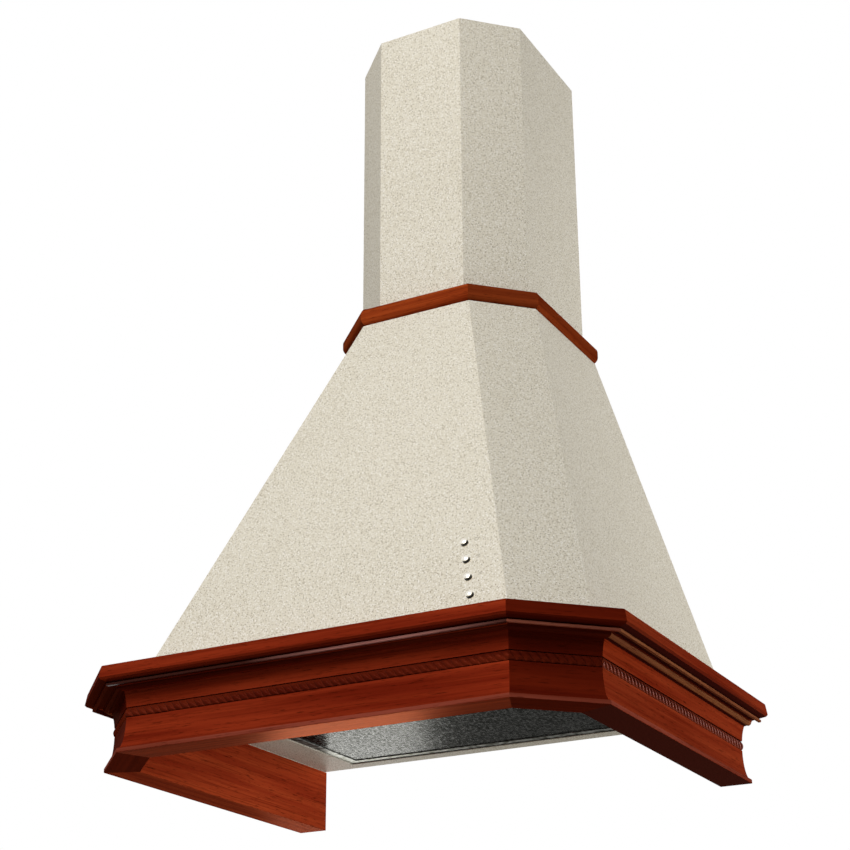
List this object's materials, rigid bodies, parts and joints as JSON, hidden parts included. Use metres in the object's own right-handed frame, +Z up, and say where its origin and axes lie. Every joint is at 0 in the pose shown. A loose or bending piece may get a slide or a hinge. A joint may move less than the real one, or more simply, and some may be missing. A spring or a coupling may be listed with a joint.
{
  "type": "range hood",
  "caption": "Wall-hung dome range hood: sloping cream canopy and faceted chimney on a moulded wood frame with a rope bead, push buttons and a drop-down grease filter.",
  "frame": {"origin": "centre of the four wall screw holes, on the wall plane", "axes": "+X to the right seen from the front, +Y into the wall, +Z up"},
  "size_m": [0.655, 0.5064, 0.992],
  "materials": {
    "cream_steel": "speckled cream powder coat, satin",
    "stained_wood": "red-brown stain under satin lacquer",
    "zinc_steel": "zinc-plated sheet",
    "chrome": "polished",
    "filter_aluminium": "mill finish",
    "grey_plastic": "moulded, matt",
    "black_plastic": "moulded, matt",
    "motor_steel": "turned and pressed",
    "lamp_glass": "frosted"
  },
  "bodies": {
    "hood": {"canopy_shell": "cream_steel", "rear_panel": "zinc_steel", "underside_panel": "cream_steel", "frame_left_side": "stained_wood", "frame_left_corner": "stained_wood", "frame_front": "stained_wood", "frame_right_corner": "stained_wood", "frame_right_side": "stained_wood", "rope_left_side": "stained_wood", "rope_left_corner": "stained_wood", "rope_front": "stained_wood", "rope_right_corner": "stained_wood", "rope_right_side": "stained_wood", "collar_left_side": "stained_wood", "collar_left_corner": "stained_wood", "collar_front": "stained_wood", "collar_right_corner": "stained_wood", "collar_right_side": "stained_wood", "switch_block": "black_plastic", "button_bezels": "chrome", "motor": "motor_steel", "motor_bracket": "zinc_steel", "blower_mount": "zinc_steel", "blower_casing_left": "grey_plastic", "blower_casing_right": "grey_plastic", "outlet_plate": "zinc_steel", "duct_collar": "grey_plastic", "terminal_box": "black_plastic", "terminal_lid": "black_plastic", "cable_gland": "black_plastic", "capacitor": "filter_aluminium", "capacitor_clip": "zinc_steel", "lamp_left_bezel": "chrome", "lamp_left_lens": "lamp_glass", "lamp_left_can": "zinc_steel", "lamp_left_bulb": "lamp_glass", "lamp_right_bezel": "chrome", "lamp_right_lens": "lamp_glass", "lamp_right_can": "zinc_steel", "lamp_right_bulb": "lamp_glass"},
    "chimney": {"chimney_cover": "cream_steel", "chimney_bracket": "zinc_steel"},
    "fan": {"fan_wheel": "grey_plastic", "motor_shaft": "motor_steel"},
    "damper_front": {"damper_flap_front": "grey_plastic"},
    "damper_rear": {"damper_flap_rear": "grey_plastic"},
    "filter": {"filter_frame": "filter_aluminium", "filter_mesh_lower": "filter_aluminium", "filter_mesh_upper": "filter_aluminium"},
    "latch": {"filter_latch": "filter_aluminium"},
    "button_1": {"button_cap_1": "chrome", "button_plunger_1": "black_plastic"},
    "button_2": {"button_cap_2": "chrome", "button_plunger_2": "black_plastic"},
    "button_3": {"button_cap_3": "chrome", "button_plunger_3": "black_plastic"},
    "button_4": {"button_cap_4": "chrome", "button_plunger_4": "black_plastic"}
  },
  "joints": [
    {"name": "chimney_slide", "type": "slide", "parent": "hood", "child": "chimney", "axis": [0, 0, 1], "range_m": [-0.15, 0]},
    {"name": "fan_spin", "type": "hinge", "parent": "hood", "child": "fan", "pos_m": [0, -0.194, -0.064], "axis": [1, 0, 0], "continuous": true},
    {"name": "damper_front_swing", "type": "hinge", "parent": "hood", "child": "damper_front", "pos_m": [0, -0.1085, 0.113], "axis": [-1, 0, 0], "range_deg": [0, 80]},
    {"name": "damper_rear_swing", "type": "hinge", "parent": "hood", "child": "damper_rear", "pos_m": [0, -0.1015, 0.113], "axis": [1, 0, 0], "range_deg": [0, 80]},
    {"name": "filter_swing", "type": "hinge", "parent": "hood", "child": "filter", "pos_m": [0, -0.02, -0.224], "axis": [1, 0, 0], "range_deg": [0, 75]},
    {"name": "latch_slide", "type": "slide", "parent": "filter", "child": "latch", "axis": [0, 1, 0], "range_m": [0, 0.005], "stiffness_N_per_m": 400},
    {"name": "button_1_press", "type": "slide", "parent": "hood", "child": "button_1", "axis": [0, 0.913, -0.408], "range_m": [0, 0.003], "stiffness_N_per_m": 800},
    {"name": "button_2_press", "type": "slide", "parent": "hood", "child": "button_2", "axis": [0, 0.913, -0.408], "range_m": [0, 0.003], "stiffness_N_per_m": 800},
    {"name": "button_3_press", "type": "slide", "parent": "hood", "child": "button_3", "axis": [0, 0.913, -0.408], "range_m": [0, 0.003], "stiffness_N_per_m": 800},
    {"name": "button_4_press", "type": "slide", "parent": "hood", "child": "button_4", "axis": [0, 0.913, -0.408], "range_m": [0, 0.003], "stiffness_N_per_m": 800}
  ]
}
